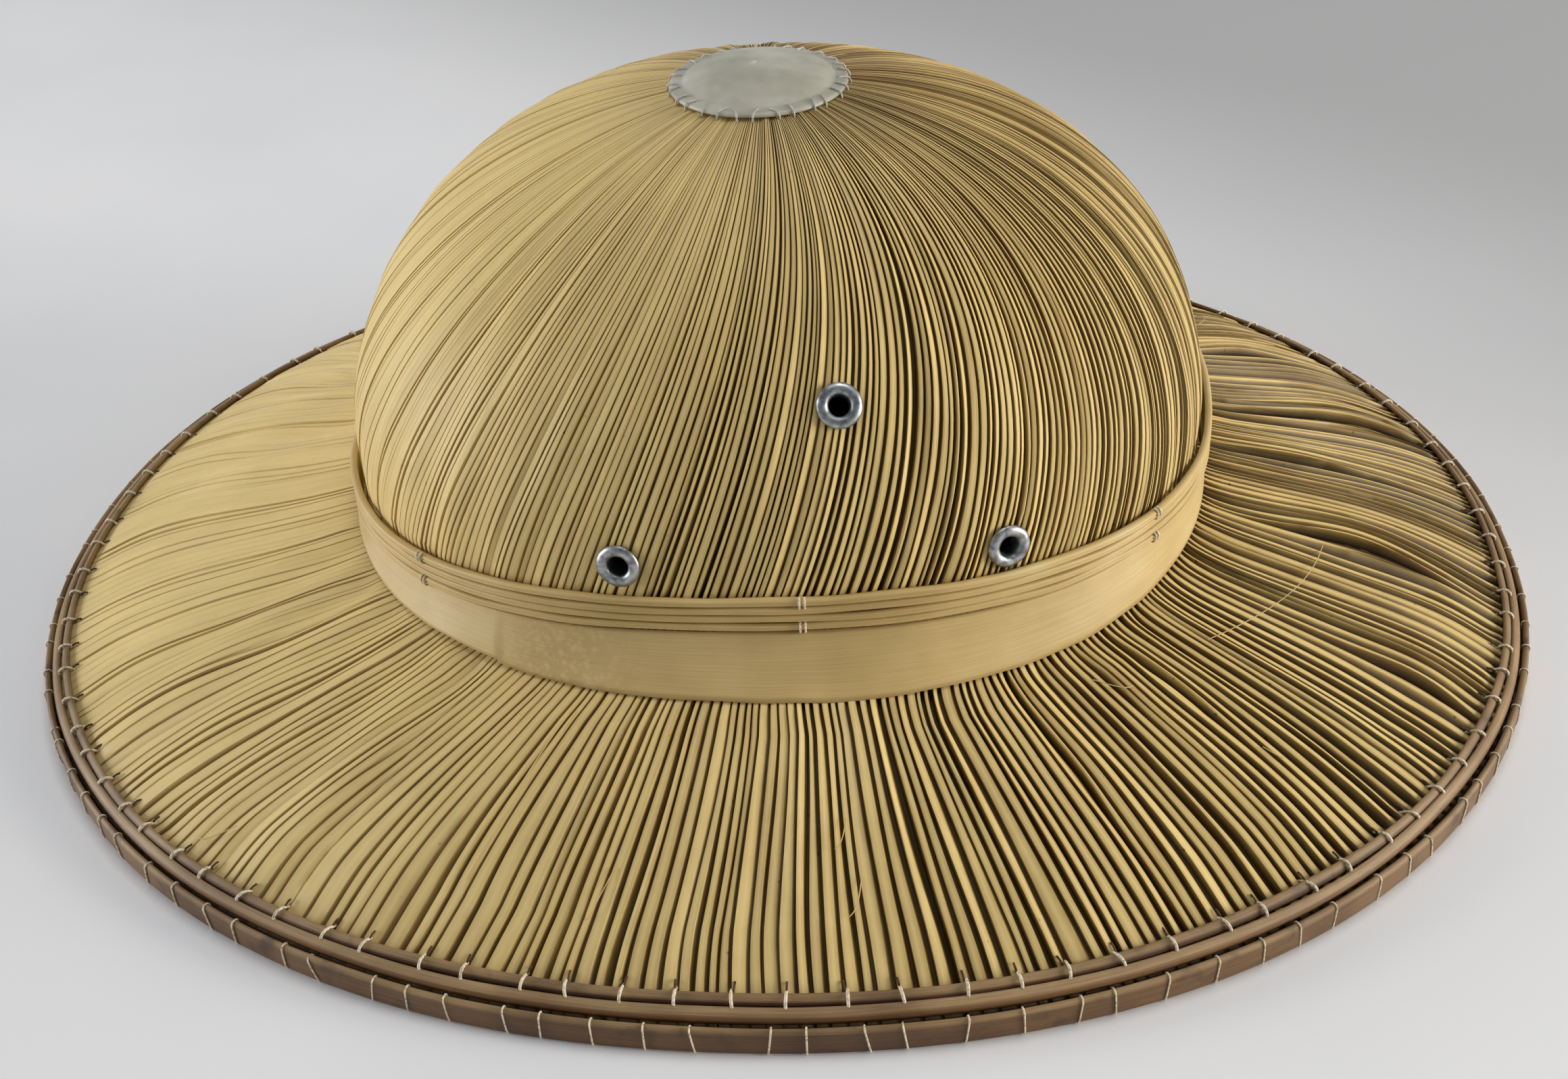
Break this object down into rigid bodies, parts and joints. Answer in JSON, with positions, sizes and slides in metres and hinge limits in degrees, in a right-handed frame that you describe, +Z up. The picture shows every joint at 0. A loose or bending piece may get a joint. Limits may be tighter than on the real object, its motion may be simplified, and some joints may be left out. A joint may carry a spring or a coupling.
{
  "type": "pith helmet",
  "caption": "Wide-brimmed sun helmet of pleated palm leaf: domed crown, band of leaf cords over a flared leaf strip, split-cane hoops at the rim, round top disc and metal air eyelets.",
  "frame": {"origin": "centre of the rim's bounding box, on the surface that the outer hoop stands on", "axes": "+Z up through the crown; +X along the hat's length, taken as the wearer's front; +Y across the hat, to the wearer's left"},
  "size_m": [0.42, 0.3654, 0.15],
  "materials": {
    "pleated_leaf": "matte dried palm leaf, pleated",
    "plain_leaf": "satin dried palm leaf, smooth",
    "dark_cane": "satin split cane, brown and scorched",
    "light_cane": "satin split cane, light brown",
    "disc_plastic": "frosted, slightly see-through grey plastic",
    "eyelet_steel": "plated, slightly worn"
  },
  "bodies": {
    "root": {"crown_leaf": "pleated_leaf", "brim_leaf": "pleated_leaf", "band_cord_1": "plain_leaf", "band_cord_2": "plain_leaf", "band_cord_3": "plain_leaf", "band_cord_4": "plain_leaf", "band_strip": "plain_leaf", "hoop_inner": "dark_cane", "hoop_middle": "light_cane", "hoop_outer": "dark_cane", "top_disc": "disc_plastic", "eyelet_near_upper": "eyelet_steel", "eyelet_near_left": "eyelet_steel", "eyelet_near_right": "eyelet_steel", "eyelet_far_upper": "eyelet_steel", "eyelet_far_left": "eyelet_steel", "eyelet_far_right": "eyelet_steel"}
  },
  "joints": []
}
